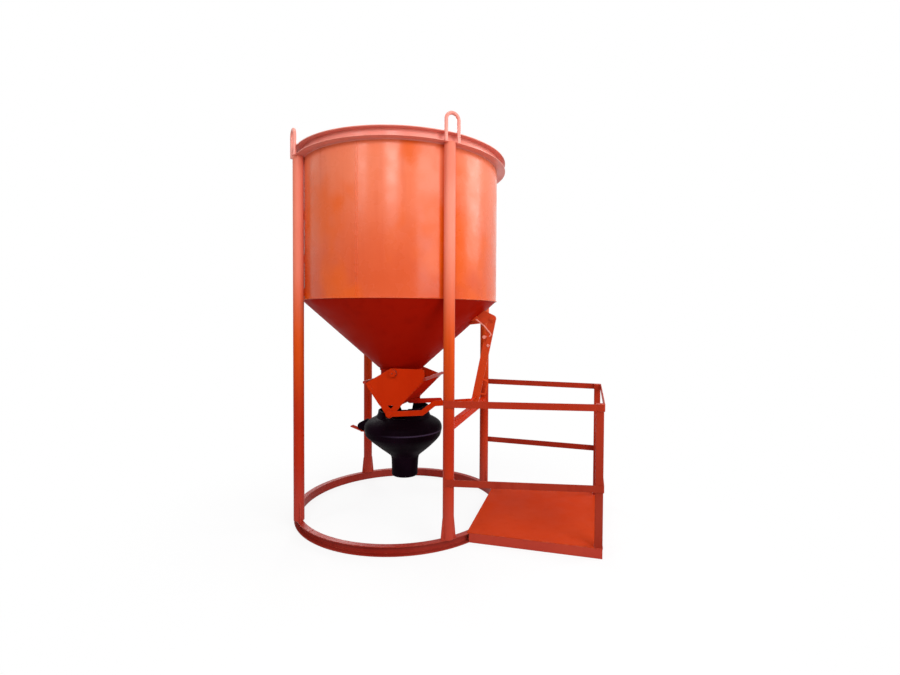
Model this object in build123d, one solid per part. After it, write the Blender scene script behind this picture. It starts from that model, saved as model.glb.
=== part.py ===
from build123d import *
from math import acos, atan2, cos, degrees, hypot, radians, sin, sqrt
import os

# Concrete hoist bucket: a drum on four legs with a hopper cone, a folded sector
# gate worked by a hanging hand lever, a rubber discharge funnel and a platform.
# Millimetres, +Z up. Front is -Y, the platform stands to +X. Everything is drawn
# about the drum axis and moved at the end, so that the origin lies in the middle
# of the footprint on the ground.

# Drum, hopper cone and rim channel
DRUM_DIA = 1520.0
DRUM_WALL = 5.0
DRUM_HEIGHT = 1082.0
CONE_HEIGHT = 539.0
OUTLET_DIA = 327.0
OUTLET_Z = 1131.0
RIM_HEIGHT = 65.0
RIM_REACH = 64.0
RIM_WALL = 5.0
RIM_SPACE = 16.0

# Legs, base ring, gussets and the tabs between legs and drum
LEG_DIA = 76.1
LEG_WALL = 4.0
LEG_GAP = 2.0
LEG_CAP = 4.0
RING_HEIGHT = 65.0
RING_FLANGE = 42.0
RING_WALL = 5.5
GUSSET_HEIGHT = 140.0
GUSSET_WIDTH = 18.0
GUSSET_THICK = 8.0
TAB_LEVELS = (48.0, 290.0, 602.0)
TAB_HEIGHT = 60.0
TAB_WIDTH = 12.0

# Lifting eyes, bent from round bar
EYE_BAR = 24.0
EYE_WIDTH = 118.0
EYE_RISE = 130.0
EYE_LAP = 8.0

# Outlet collar, round neck and gate pivots
COLLAR_THICK = 8.0
COLLAR_LEDGE = 8.0
NECK_WALL = 6.0
NECK_HEIGHT = 93.0
PIVOT_SHIFT = 24.0
PIVOT_DROP = 17.0
PIVOT_DIA = 40.0
BOSS_DIA = 70.0
PIVOT_NUT = 60.0
PIVOT_NUT_THICK = 16.0

# Sector gate
GATE_RADIUS = 250.0
PAN_ANGLES = (200.0, 254.0, 282.0, 350.0)
PAN_SHEET = 5.0
CHEEK_THICK = 6.0
CHEEK_CLEAR = 40.0
CHEEK_RISE = 36.0
CHEEK_TOP_START = -23.0
REAR_TOP_END = 25.0
CHEEK_CORNER = 20.0
BUSH_WALL = 7.0
BUSH_INSIDE = 3.0
BUSH_OUTSIDE = 11.0
LIP_BAR = 24.0
LIP_OVERHANG = 6.0
EDGE_BAR_WIDTH = 25.0
EDGE_BAR_THICK = 6.0
EDGE_BAR_END = 24.0
LUG_SHIFT = -31.5
LUG_DROP = 73.7
LUG_RADIUS = 30.0
LUG_STRAP = 16.0
LUG_ROOT = 80.0
ARM_RUN = 252.0
ARM_RISE = 19.0
ARM_WIDTH = 36.0
ARM_THICK = 10.0

# Link between gate and lever, and its cross shaft
LINK_THICK = 10.0
LINK_WIDTH = 40.0
LINK_LOW_RUN = 266.0
LINK_LOW_RISE = 25.0
LINK_HIGH_RUN = 266.0
LINK_HIGH_RISE = 29.0
LINK_PIN_DIA = 24.0
LINK_PIN_HEAD = 40.0
LINK_PIN_HEAD_THICK = 8.0
SHAFT_DIA = 20.0
SHAFT_NUT = 34.0
SHAFT_NUT_THICK = 10.0

# Hand lever with its pivot, bracket ears, handle and lock stud
LEVER_X = 745.0
LEVER_Z = 1535.0
HITCH_X = 621.0
HITCH_Z = 930.0
LEVER_WIDTH = 58.0
LEVER_THICK = 20.0
LEVER_TAIL = 50.0
BOLT_DIA = 20.0
BOLT_HEAD = 34.0
BOLT_HEAD_THICK = 13.0
EAR_THICK = 8.0
EAR_RADIUS = 28.0
EAR_ROOT_UP = 65.0
EAR_ROOT_DOWN = 50.0
HANDLE_BAR = 14.0
HANDLE_START = 30.0
HANDLE_LENGTH = 110.0
HANDLE_DEPTH = 36.0
HANDLE_BEND = 16.0
STUD_DIA = 16.0
STUD_DOWN = 146.0
STUD_SET_IN = 18.0
STUD_LENGTH = 62.0
STUD_HEAD = 26.0
STUD_HEAD_THICK = 5.0

# Lock hook and its lug on the cone
HOOK_ROOT_Z = 1545.0
HOOK_STANDOFF = 25.0
HOOK_BAR = 10.0
HOOK_PIN_DIA = 12.0
HOOK_WASHER = 22.0
HOOK_OFFSET = 62.0
HOOK_LUG_OFFSET = 48.0
HOOK_LUG_THICK = 8.0
HOOK_LUG_RADIUS = 15.0
HOOK_LUG_ROOT = 25.0
HOOK_TIP = 6.0
HOOK_LIFT = 15.0

# Crossbar, platform and guard rails
CROSSBAR = 50.0
CROSSBAR_WALL = 4.0
CROSSBAR_ROUND = 6.0
CROSSBAR_Z = 785.0
FLOOR_EDGE = 667.0
FLOOR_THICK = 4.0
FLOOR_CUT = 1.0
PLATFORM_END = 1562.0
FRONT_REACH = 455.0
BACK_REACH = 550.0
SIDE_WIDTH = 40.0
SIDE_THICK = 5.0
POST = 50.0
POST_WALL = 3.0
POST_ROUND = 4.0
POST_CAP = 3.0
RAIL_HEIGHT = 45.0
RAIL_THICK = 6.0
RAIL_LAP = 25.0
TOP_RAIL_Z = 994.0
KNEE_RAIL_Z = 472.0

# Rubber funnel, the fork that carries it and the two hanger straps
FUNNEL_TOP = 761.0
FUNNEL_WALL = 12.0
FUNNEL_SHIFT = 20.0
MOUTH_DIA = 400.0
SHOULDER_DIA = 624.0
SHOULDER_DROP = 96.0
SHOULDER_ROUND = 25.0
SEAT_INSET = 6.0
SEAT_DROP = 59.0
CONE_DROP = 174.0
SPOUT_DIA = 212.0
SPOUT_LENGTH = 162.0
SPOUT_SHIFT = 14.0
FLAP_START = 92.0
FLAP_BACK = 5.0
FLAP_RIGHT = 79.0
FLAP_LEFT = 42.0
TONGUE_REACH = 88.0
TONGUE_WIDTH = 60.0
TONGUE_TIP = 41.0
TONGUE_RISE = 41.0
FORK_WIDTH = 62.0
FORK_THICK = 8.0
FORK_TIP = 91.0
FORK_TIP_RISE = 34.0
FORK_TIP_WIDTH = 46.0
FORK_END = 150.0
STRAP_ANGLES = (88.0, 130.0)
STRAP_WIDTH = 50.0
STRAP_THICK = 8.0
STRAP_GAP = 14.0

# Clearances shared by the fits
RUN_FIT = 0.05
SIDE_PLAY = 0.5
WASHER_PLAY = 1.0
LINK_SIDE_GAP = 3.0
LINK_HOLE_PLAY = 3.5
HOOK_PLAY = 2.0
WELD_BITE = 2.0

# Levels and radii that follow from the sizes above
drum_r = DRUM_DIA / 2
outlet_r = OUTLET_DIA / 2
drum_z = OUTLET_Z + CONE_HEIGHT
top_z = drum_z + DRUM_HEIGHT
flange_z = top_z - RIM_HEIGHT
slope = (drum_r - outlet_r) / CONE_HEIGHT
cone_wall = DRUM_WALL * sqrt(1 + slope * slope)
leg_r = LEG_DIA / 2
leg_at = drum_r + LEG_GAP + leg_r
leg_xy = leg_at * cos(radians(45))
ring_out = leg_at + RING_FLANGE / 2
ring_in = ring_out - RING_FLANGE
rim_out = drum_r + RIM_REACH
bore_r = outlet_r - cone_wall
neck_r = bore_r + NECK_WALL
collar_r = neck_r + COLLAR_LEDGE
neck_top = OUTLET_Z - COLLAR_THICK
cheek_in = collar_r + CHEEK_CLEAR
cheek_out = cheek_in + CHEEK_THICK
link_in = cheek_out + LINK_SIDE_GAP
link_out = link_in + LINK_THICK
floor_top = RING_HEIGHT + FLOOR_THICK

nodes = {}


def along_y(x, z, radius, y_low, y_high):
    """Round bar parallel to Y between two Y planes."""
    middle = (y_low + y_high) / 2
    return Pos(x, middle, z) * Rot(90, 0, 0) * Cylinder(radius, y_high - y_low)


def hex_y(x, z, across, y_low, y_high):
    """Hexagon prism parallel to Y, sized over its corners."""
    return plate(Pos(x, z) * RegularPolygon(across / 2, 6), y_low, y_high)


def plate(outline, y_low, y_high):
    """Flat outline drawn in X and Z, made solid between two Y planes."""
    face = Plane.XZ.offset(-y_high) * outline
    return extrude(face, y_high - y_low, dir=(0, -1, 0))


def turned(*profile):
    """Solid of revolution about the drum axis from radius and height points."""
    return revolve(Plane.XZ * Polygon(*profile), Axis.Z)


def upright(x, y, radius, z_low, z_high):
    """Round bar parallel to Z between two levels."""
    return Pos(x, y, (z_low + z_high) / 2) * Cylinder(radius, z_high - z_low)


def block(x_low, x_high, y_low, y_high, z_low, z_high):
    """Box given by its six faces."""
    middle = Pos((x_low + x_high) / 2, (y_low + y_high) / 2, (z_low + z_high) / 2)
    return middle * Box(x_high - x_low, y_high - y_low, z_high - z_low)


def band(points, thickness):
    """Outline of a folded strip: a line and the same line set over to its left."""
    rows = []
    for start, end in zip(points, points[1:]):
        run = hypot(end[0] - start[0], end[1] - start[1])
        over = ((start[1] - end[1]) / run * thickness, (end[0] - start[0]) / run * thickness)
        rows.append((start, end, over))
    first, last = rows[0], rows[-1]
    shifted = [(first[0][0] + first[2][0], first[0][1] + first[2][1])]
    for (_, corner, one), (_, _, two) in zip(rows, rows[1:]):
        share = thickness * thickness / (thickness * thickness + one[0] * two[0] + one[1] * two[1])
        shifted.append((corner[0] + (one[0] + two[0]) * share, corner[1] + (one[1] + two[1]) * share))
    shifted.append((last[1][0] + last[2][0], last[1][1] + last[2][1]))
    return Polygon(*points, *reversed(shifted))


def slot(start, end, width):
    """Outline of a flat bar with round ends about two points."""
    run = (end[0] - start[0], end[1] - start[1])
    middle = Pos((start[0] + end[0]) / 2, (start[1] + end[1]) / 2)
    turn = Rot(0, 0, degrees(atan2(run[1], run[0])))
    return middle * turn * SlotCenterToCenter(hypot(*run), width)


def touch(point, centre, radius, side):
    """Tangent point on a circle, seen from a point outside it."""
    away = (point[0] - centre[0], point[1] - centre[1])
    turn = atan2(away[1], away[0]) + side * acos(radius / hypot(*away))
    return (centre[0] + radius * cos(turn), centre[1] + radius * sin(turn))


def round_lug(upper, lower, centre, radius):
    """Outline that runs from two root points to a round end."""
    ends = (touch(lower, centre, radius, 1), touch(upper, centre, radius, -1))
    return Polygon(upper, lower, *ends) + Pos(*centre) * Circle(radius)


def cone_radius(z):
    """Outer radius of the hopper cone at a level."""
    return outlet_r + slope * (z - OUTLET_Z)


# Base ring: rolled channel on the ground, open to the outside
nodes["base_ring"] = turned(
    (ring_in, 0),
    (ring_out, 0),
    (ring_out, RING_WALL),
    (ring_in + RING_WALL, RING_WALL),
    (ring_in + RING_WALL, RING_HEIGHT - RING_WALL),
    (ring_out, RING_HEIGHT - RING_WALL),
    (ring_out, RING_HEIGHT),
    (ring_in, RING_HEIGHT),
)

# Legs: round tubes from the ring to the lower flange of the rim channel
leg_top = flange_z - LEG_CAP
leg_bar = upright(leg_at, 0, leg_r, RING_HEIGHT, flange_z)
leg_tube = upright(leg_at, 0, leg_r, RING_HEIGHT, leg_top)
leg_tube -= upright(leg_at, 0, leg_r - LEG_WALL, RING_HEIGHT, leg_top)
leg_angles = {"front_left": -135, "front_right": -45, "back_right": 45, "back_left": 135}
for place, angle in leg_angles.items():
    nodes["leg_" + place] = Rot(0, 0, angle) * leg_tube
cap = upright(leg_at, 0, leg_r, leg_top, flange_z)
nodes["leg_caps"] = Part() + [Rot(0, 0, angle) * cap for angle in leg_angles.values()]

# Gussets: a pair of triangles welded to each leg and to the ring
gusset_face = Plane.YZ.offset(leg_at - GUSSET_THICK / 2) * Polygon(
    (leg_r / 2, RING_HEIGHT),
    (leg_r + GUSSET_WIDTH, RING_HEIGHT),
    (leg_r + GUSSET_THICK / 2, RING_HEIGHT + GUSSET_HEIGHT),
    (leg_r / 2, RING_HEIGHT + GUSSET_HEIGHT),
)
gusset = extrude(gusset_face, GUSSET_THICK, dir=(1, 0, 0)) - leg_bar
gusset_pair = [gusset, mirror(gusset, Plane.XZ)]
gussets = [Rot(0, 0, angle) * one for angle in leg_angles.values() for one in gusset_pair]
nodes["leg_gussets"] = Part() + gussets

# Drum: rolled sheet, open at the top
drum = upright(0, 0, drum_r, drum_z, top_z)
nodes["drum_shell"] = drum - upright(0, 0, drum_r - DRUM_WALL, drum_z, top_z)

# Hopper cone under the drum
cone_solid = turned((0, OUTLET_Z), (outlet_r, OUTLET_Z), (drum_r, drum_z), (0, drum_z))
nodes["hopper_cone"] = turned(
    (outlet_r - cone_wall, OUTLET_Z),
    (outlet_r, OUTLET_Z),
    (drum_r, drum_z),
    (drum_r - cone_wall, drum_z),
)

# Rim round the top of the drum: two flat rings welded to it and a band between them, off the skin
rim_low = upright(0, 0, rim_out, flange_z, flange_z + RIM_WALL)
nodes["rim_flange_low"] = rim_low - upright(0, 0, drum_r, flange_z, flange_z + RIM_WALL)
rim_top = upright(0, 0, rim_out, top_z - RIM_WALL, top_z)
nodes["rim_flange_top"] = rim_top - upright(0, 0, drum_r, top_z - RIM_WALL, top_z)
band_r = drum_r + RIM_SPACE
rim_band = upright(0, 0, band_r + RIM_WALL, flange_z + RIM_WALL, top_z - RIM_WALL)
nodes["rim_band"] = rim_band - upright(0, 0, band_r, flange_z + RIM_WALL, top_z - RIM_WALL)

# Tabs that tie each leg to the drum skin at three levels
tabs = []
for level in TAB_LEVELS:
    middle = drum_z + level
    pad = block(
        drum_r - TAB_WIDTH,
        leg_at,
        -TAB_WIDTH / 2,
        TAB_WIDTH / 2,
        middle - TAB_HEIGHT / 2,
        middle + TAB_HEIGHT / 2,
    )
    pad = pad - drum - leg_bar
    tabs += [Rot(0, 0, angle) * pad for angle in leg_angles.values()]
nodes["drum_tabs"] = Part() + tabs

# Lifting eyes: bent bars welded to both rim flanges over the leg tops
bar_r = EYE_BAR / 2
eye_at = rim_out + bar_r - WELD_BITE
eye_half = EYE_WIDTH / 2 - bar_r
eye_bend_z = top_z + EYE_RISE - bar_r - eye_half
eye_low_z = flange_z - EYE_LAP
eye = upright(eye_at, eye_half, bar_r, eye_low_z, eye_bend_z)
eye += upright(eye_at, -eye_half, bar_r, eye_low_z, eye_bend_z)
bend_face = Pos(eye_at, eye_half, eye_bend_z) * Circle(bar_r)
bend_axis = Axis((eye_at, 0, eye_bend_z), (1, 0, 0))
eye += revolve(bend_face, bend_axis, 180)
eye -= upright(0, 0, rim_out, flange_z, top_z)
for place, angle in leg_angles.items():
    nodes["lifting_eye_" + place] = Rot(0, 0, angle) * eye

# Outlet collar under the cone and the round neck below it
collar = upright(0, 0, collar_r, neck_top, OUTLET_Z)
nodes["outlet_collar"] = collar - upright(0, 0, bore_r, neck_top, OUTLET_Z)
neck_low = neck_top - NECK_HEIGHT
neck = upright(0, 0, neck_r, neck_low, neck_top)
nodes["outlet_neck"] = neck - upright(0, 0, bore_r, neck_low, neck_top)

# Gate pivots: a boss and a journal on each side of the neck, with a nut
gate_x = PIVOT_SHIFT
gate_z = OUTLET_Z - PIVOT_DROP
pivot_r = PIVOT_DIA / 2
boss_end = cheek_in - BUSH_INSIDE - WASHER_PLAY
nut_start = cheek_out + BUSH_OUTSIDE + WASHER_PLAY
nut_end = nut_start + PIVOT_NUT_THICK
journal_end = nut_end + WELD_BITE
pin = along_y(gate_x, gate_z, BOSS_DIA / 2, 0, boss_end)
pin += along_y(gate_x, gate_z, pivot_r, 0, journal_end)
pin = pin - neck - collar - cone_solid
nut = hex_y(gate_x, gate_z, PIVOT_NUT, nut_start, nut_end)
nut -= along_y(gate_x, gate_z, pivot_r, nut_start, nut_end)
nodes["pivot_pins"] = Part() + [pin, mirror(pin, Plane.XZ)]
nodes["pivot_nuts"] = Part() + [nut, mirror(nut, Plane.XZ)]

# Gate pan: one sheet folded to three facets round the pivot
corners = []
for angle in PAN_ANGLES:
    turn = radians(angle)
    corners.append((gate_x + GATE_RADIUS * cos(turn), gate_z + GATE_RADIUS * sin(turn)))
lip_left, low_left, low_right, lip_right = corners
pan = plate(band(corners, PAN_SHEET), -cheek_in, cheek_in)
nodes["gate_pan"] = pan

# Gate cheeks: flat plates with the pivot hole. The front one runs down to a lug for the
# link pin, and the rear one is cut off at a slant between its top and the right lip.
lug_at = (gate_x + LUG_SHIFT, low_left[1] - LUG_DROP)
cheek_top = gate_z + CHEEK_RISE
top_left = (gate_x + CHEEK_TOP_START, cheek_top)
facet_run = hypot(lip_right[0] - low_right[0], lip_right[1] - low_right[1])
lug_root = (
    low_right[0] + (lip_right[0] - low_right[0]) / facet_run * LUG_ROOT,
    low_right[1] + (lip_right[1] - low_right[1]) / facet_run * LUG_ROOT,
)
lug_ends = (touch(lip_left, lug_at, LUG_RADIUS, 1), touch(lug_root, lug_at, LUG_RADIUS, -1))
lug_window = Polygon(
    (low_left[0] + LUG_STRAP, low_left[1] - LUG_STRAP / 2),
    (lug_at[0] + LUG_STRAP / 2, lug_at[1] + LUG_RADIUS + LUG_STRAP / 2),
    (lug_at[0] + 2 * LUG_STRAP, low_left[1] - LUG_STRAP / 2),
)


def gate_cheek(low_edge, top_right):
    """Outline of a cheek from lip to lip along its lower points and back along its top."""
    face = Polygon(lip_left, *low_edge, lip_right, top_right, top_left)
    rounded = face.vertices().sort_by_distance((*top_right, 0))[0]
    face = fillet(rounded, CHEEK_CORNER)
    return face - Pos(gate_x, gate_z) * Circle(pivot_r + RUN_FIT + BUSH_WALL)


front_face = gate_cheek((*lug_ends, lug_root), (lip_right[0], cheek_top))
front_face += Pos(*lug_at) * Circle(LUG_RADIUS)
front_face -= lug_window
front_face -= Pos(*lug_at) * Circle(LINK_PIN_DIA / 2)
front_cheek = plate(front_face, -cheek_out, -cheek_in)
rear_face = gate_cheek((low_left, low_right), (gate_x + REAR_TOP_END, cheek_top))
rear_cheek = plate(rear_face, cheek_in, cheek_out)
nodes["gate_cheek_front"] = front_cheek
nodes["gate_cheek_rear"] = rear_cheek

# Bushes pressed into the cheeks
bush_start = cheek_in - BUSH_INSIDE
bush_end = cheek_out + BUSH_OUTSIDE
bush = along_y(gate_x, gate_z, pivot_r + RUN_FIT + BUSH_WALL, bush_start, bush_end)
bush -= along_y(gate_x, gate_z, pivot_r + RUN_FIT, bush_start, bush_end)
nodes["gate_bushes"] = Part() + [bush, mirror(bush, Plane.XZ)]

# Round bars along both lips of the pan
both_cheeks = [front_cheek, rear_cheek]
lip_bars = []
for tip, root in ((lip_left, low_left), (lip_right, low_right)):
    run = hypot(tip[0] - root[0], tip[1] - root[1])
    set_out = LIP_BAR / 2 - WELD_BITE
    x = tip[0] + (tip[0] - root[0]) / run * set_out
    z = tip[1] + (tip[1] - root[1]) / run * set_out
    lip_end = cheek_out + LIP_OVERHANG
    lip_bars.append(along_y(x, z, LIP_BAR / 2, -lip_end, lip_end) - pan - both_cheeks)
nodes["gate_lip_bars"] = Part() + lip_bars

# Flat bars that stiffen the sloping edge of each cheek, the front one stopping above the link
front_edge = (lug_ends[0], LUG_DROP + EDGE_BAR_END, -cheek_out - EDGE_BAR_THICK)
rear_edge = (low_left, EDGE_BAR_END, cheek_out)
edge_bars = []
for low_end, stop, y_low in (front_edge, rear_edge):
    run = hypot(low_end[0] - lip_left[0], low_end[1] - lip_left[1])
    down = ((low_end[0] - lip_left[0]) / run, (low_end[1] - lip_left[1]) / run)
    edge_line = [
        (lip_left[0] + down[0] * EDGE_BAR_END, lip_left[1] + down[1] * EDGE_BAR_END),
        (low_end[0] - down[0] * stop, low_end[1] - down[1] * stop),
    ]
    edge_bars.append(plate(band(edge_line, EDGE_BAR_WIDTH), y_low, y_low + EDGE_BAR_THICK))
nodes["gate_edge_bars"] = Part() + edge_bars

# Arm under the right fold of the pan, by which the gate is pushed shut
arm_end = (low_right[0] + ARM_RUN, low_right[1] + ARM_RISE)
arm = plate(slot(low_right, arm_end, ARM_WIDTH), -ARM_THICK / 2, ARM_THICK / 2)
nodes["gate_arm"] = arm - plate(Polygon(*corners), -ARM_THICK / 2, ARM_THICK / 2)

# Link pin in the lug of the front cheek
head_end = -link_out - WASHER_PLAY
link_pin = along_y(*lug_at, LINK_PIN_DIA / 2, head_end, -cheek_in)
link_pin += along_y(*lug_at, LINK_PIN_HEAD / 2, head_end - LINK_PIN_HEAD_THICK, head_end)
nodes["link_pin"] = link_pin

# Link: a cranked flat bar in front of the gate, from its lug to the cross shaft on the lever
hitch = (HITCH_X, HITCH_Z)
low_bend = (lug_at[0] + LINK_LOW_RUN, lug_at[1] + LINK_LOW_RISE)
high_bend = (HITCH_X - LINK_HIGH_RUN, HITCH_Z - LINK_HIGH_RISE)
link_face = slot(lug_at, low_bend, LINK_WIDTH)
link_face += slot(low_bend, high_bend, LINK_WIDTH)
link_face += slot(high_bend, hitch, LINK_WIDTH)
link_face += Pos(*lug_at) * Circle(LUG_RADIUS)
link_face -= Pos(*lug_at) * Circle(LINK_PIN_DIA / 2 + LINK_HOLE_PLAY)
link_face -= Pos(*hitch) * Circle(SHAFT_DIA / 2 + RUN_FIT)
nodes["gate_link"] = plate(link_face, -link_out, -link_in)

# Hand lever: a flat bar hung from its top end, run a little past the cross shaft
pivot = (LEVER_X, LEVER_Z)
lever_half = LEVER_THICK / 2
lever_run = hypot(LEVER_X - HITCH_X, LEVER_Z - HITCH_Z)
up_x = (LEVER_X - HITCH_X) / lever_run
up_z = (LEVER_Z - HITCH_Z) / lever_run
lever_tail = (HITCH_X - up_x * LEVER_TAIL, HITCH_Z - up_z * LEVER_TAIL)
lever_face = slot(lever_tail, pivot, LEVER_WIDTH)
lever_face -= Pos(*pivot) * Circle(BOLT_DIA / 2 + RUN_FIT)
lever_face -= Pos(*hitch) * Circle(SHAFT_DIA / 2)
nodes["hand_lever"] = plate(lever_face, -lever_half, lever_half)

# Cross shaft from the lever to the link, with a nut outside the link
nut_end_y = -link_out - WASHER_PLAY
shaft_tip = nut_end_y - SHAFT_NUT_THICK - WELD_BITE
nodes["cross_shaft"] = along_y(*hitch, SHAFT_DIA / 2, shaft_tip, lever_half + WELD_BITE)
shaft_nut = hex_y(*hitch, SHAFT_NUT, nut_end_y - SHAFT_NUT_THICK, nut_end_y)
nodes["shaft_nut"] = shaft_nut - along_y(*hitch, SHAFT_DIA / 2, shaft_tip, nut_end_y)

# Handle: a bent round bar on the operator's edge of the lever
lever_plane = Plane(origin=(HITCH_X, 0, HITCH_Z), x_dir=(up_z, 0, -up_x), z_dir=(0, -1, 0))
handle_path = lever_plane * FilletPolyline(
    (LEVER_WIDTH / 2, HANDLE_START),
    (LEVER_WIDTH / 2 + HANDLE_DEPTH, HANDLE_START),
    (LEVER_WIDTH / 2 + HANDLE_DEPTH, HANDLE_START + HANDLE_LENGTH),
    (LEVER_WIDTH / 2, HANDLE_START + HANDLE_LENGTH),
    radius=HANDLE_BEND,
)
handle_face = Plane(origin=handle_path @ 0, z_dir=handle_path % 0) * Circle(HANDLE_BAR / 2)
nodes["lever_handle"] = sweep(handle_face, handle_path)

# Lock stud on the front face of the lever
stud_x = LEVER_X - up_x * STUD_DOWN - up_z * STUD_SET_IN
stud_z = LEVER_Z - up_z * STUD_DOWN + up_x * STUD_SET_IN
stud_end = lever_half + STUD_LENGTH
stud = along_y(stud_x, stud_z, STUD_DIA / 2, -stud_end, -lever_half)
stud += along_y(stud_x, stud_z, STUD_HEAD / 2, -stud_end - STUD_HEAD_THICK, -stud_end)
nodes["lock_stud"] = stud

# Lever bracket: two ears coped to the cone, and the pivot bolt with its nut
ear_in = lever_half + SIDE_PLAY
ear_out = ear_in + EAR_THICK
ear_up_z = LEVER_Z + EAR_ROOT_UP
ear_low_z = LEVER_Z - EAR_ROOT_DOWN
ear_up = (cone_radius(ear_up_z) - EAR_THICK, ear_up_z)
ear_low = (cone_radius(ear_low_z) - EAR_THICK, ear_low_z)
ear_face = round_lug(ear_up, ear_low, pivot, EAR_RADIUS)
ear_face -= Pos(*pivot) * Circle(BOLT_DIA / 2)
ear = plate(ear_face, ear_in, ear_out) - cone_solid
nodes["lever_ears"] = Part() + [ear, mirror(ear, Plane.XZ)]
bolt = along_y(*pivot, BOLT_DIA / 2, -ear_out, ear_out + BOLT_HEAD_THICK + WELD_BITE)
bolt += hex_y(*pivot, BOLT_HEAD, -ear_out - BOLT_HEAD_THICK, -ear_out)
nodes["lever_bolt"] = bolt
bolt_nut = hex_y(*pivot, BOLT_HEAD, ear_out, ear_out + BOLT_HEAD_THICK)
nodes["lever_nut"] = bolt_nut - along_y(*pivot, BOLT_DIA / 2, ear_out, ear_out + BOLT_HEAD_THICK)

# Lug on the cone for the lock hook
lean = sqrt(1 + slope * slope)
root_r = sqrt(cone_radius(HOOK_ROOT_Z) ** 2 - HOOK_LUG_OFFSET ** 2)
hook_at = (root_r + HOOK_STANDOFF / lean, HOOK_ROOT_Z - HOOK_STANDOFF * slope / lean)
lug_up = (cone_radius(HOOK_ROOT_Z + HOOK_LUG_ROOT) - HOOK_STANDOFF, HOOK_ROOT_Z + HOOK_LUG_ROOT)
lug_low = (cone_radius(HOOK_ROOT_Z - HOOK_LUG_ROOT) - HOOK_STANDOFF, HOOK_ROOT_Z - HOOK_LUG_ROOT)
hook_lug_face = round_lug(lug_up, lug_low, hook_at, HOOK_LUG_RADIUS)
hook_lug_face -= Pos(*hook_at) * Circle(HOOK_PIN_DIA / 2 + RUN_FIT)
hook_lug_out = HOOK_LUG_OFFSET + HOOK_LUG_THICK / 2
hook_lug_in = HOOK_LUG_OFFSET - HOOK_LUG_THICK / 2
nodes["hook_lug"] = plate(hook_lug_face, -hook_lug_out, -hook_lug_in) - cone_solid

# Lock hook: a bent rod, shown lifted clear of the stud
hook_r = HOOK_BAR / 2
reach = hypot(stud_x - hook_at[0], stud_z - hook_at[1])
grip = STUD_DIA / 2 + HOOK_PLAY + hook_r
hook_turn = atan2(stud_z - hook_at[1], stud_x - hook_at[0]) + radians(HOOK_LIFT)
hook_plane = Plane(
    origin=(hook_at[0], -HOOK_OFFSET, hook_at[1]),
    x_dir=(cos(hook_turn), 0, sin(hook_turn)),
    z_dir=(0, -1, 0),
)
hook_path = hook_plane * FilletPolyline(
    (0, 0),
    (reach / 2, grip),
    (reach + grip, grip),
    (reach + grip, -HOOK_TIP),
    radius=HOOK_BAR,
)
hook_face = Plane(origin=hook_path @ 0, z_dir=hook_path % 0) * Circle(hook_r)
hook = sweep(hook_face, hook_path)
washer_start = -hook_lug_in + WASHER_PLAY
pin_start = -HOOK_OFFSET - hook_r - WELD_BITE
hook += along_y(*hook_at, HOOK_PIN_DIA / 2, pin_start, washer_start + hook_r)
hook += along_y(*hook_at, HOOK_WASHER / 2, washer_start, washer_start + hook_r)
nodes["lock_hook"] = hook

# Crossbar between the two platform legs
crossbar_top = CROSSBAR_Z + CROSSBAR
bar_half = CROSSBAR / 2
hole_half = bar_half - CROSSBAR_WALL
crossbar = block(leg_xy - bar_half, leg_xy + bar_half, -leg_xy, leg_xy, CROSSBAR_Z, crossbar_top)
crossbar = fillet(crossbar.edges().filter_by(Axis.Y), CROSSBAR_ROUND)
crossbar -= block(
    leg_xy - hole_half,
    leg_xy + hole_half,
    -leg_xy,
    leg_xy,
    CROSSBAR_Z + CROSSBAR_WALL,
    crossbar_top - CROSSBAR_WALL,
)
for side in (-45, 45):
    crossbar -= Rot(0, 0, side) * leg_bar
nodes["crossbar"] = crossbar

# Platform frame: steel angles, flat leg on top under the floor. It reaches further behind
# the drum axis than in front of it, so each side is drawn behind it and the front one mirrored.
flat_z = RING_HEIGHT - SIDE_THICK
post_x = PLATFORM_END - POST
post_top = TOP_RAIL_Z - POST_CAP


def platform_side(reach):
    """Side angle at a distance from the drum axis, cut off at the ring."""
    side = block(leg_xy, PLATFORM_END, reach - SIDE_THICK, reach, 0, RING_HEIGHT)
    side += block(leg_xy, PLATFORM_END, reach - SIDE_WIDTH, reach, flat_z, RING_HEIGHT)
    return side - upright(0, 0, ring_out, 0, RING_HEIGHT)


side_back = platform_side(BACK_REACH)
side_front = mirror(platform_side(FRONT_REACH), Plane.XZ)
end_front = SIDE_THICK - FRONT_REACH
end_back = BACK_REACH - SIDE_THICK
end_bar = block(PLATFORM_END - SIDE_THICK, PLATFORM_END, end_front, end_back, 0, RING_HEIGHT)
end_bar += block(PLATFORM_END - SIDE_WIDTH, PLATFORM_END, end_front, end_back, flat_z, RING_HEIGHT)
nodes["platform_side_back"] = side_back
nodes["platform_side_front"] = side_front
nodes["platform_end"] = end_bar - side_back - side_front


# Platform floor: plain sheet over the frame and the ring, notched round the posts
def post_notch(reach):
    """What is cut out of the floor round a post."""
    return block(post_x - FLOOR_CUT, PLATFORM_END, reach - POST - FLOOR_CUT, reach, RING_HEIGHT, floor_top)


floor = block(FLOOR_EDGE, PLATFORM_END, -FRONT_REACH, BACK_REACH, RING_HEIGHT, floor_top)
nodes["platform_floor"] = floor - post_notch(BACK_REACH) - mirror(post_notch(FRONT_REACH), Plane.XZ)


# Corner posts: square tubes on the side angles, closed with cap plates
def post_bar(reach, z_low, z_high):
    """Square bar with round edges at a corner of the platform."""
    bar = block(post_x, PLATFORM_END, reach - POST, reach, z_low, z_high)
    return fillet(bar.edges().filter_by(Axis.Z), POST_ROUND)


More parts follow.
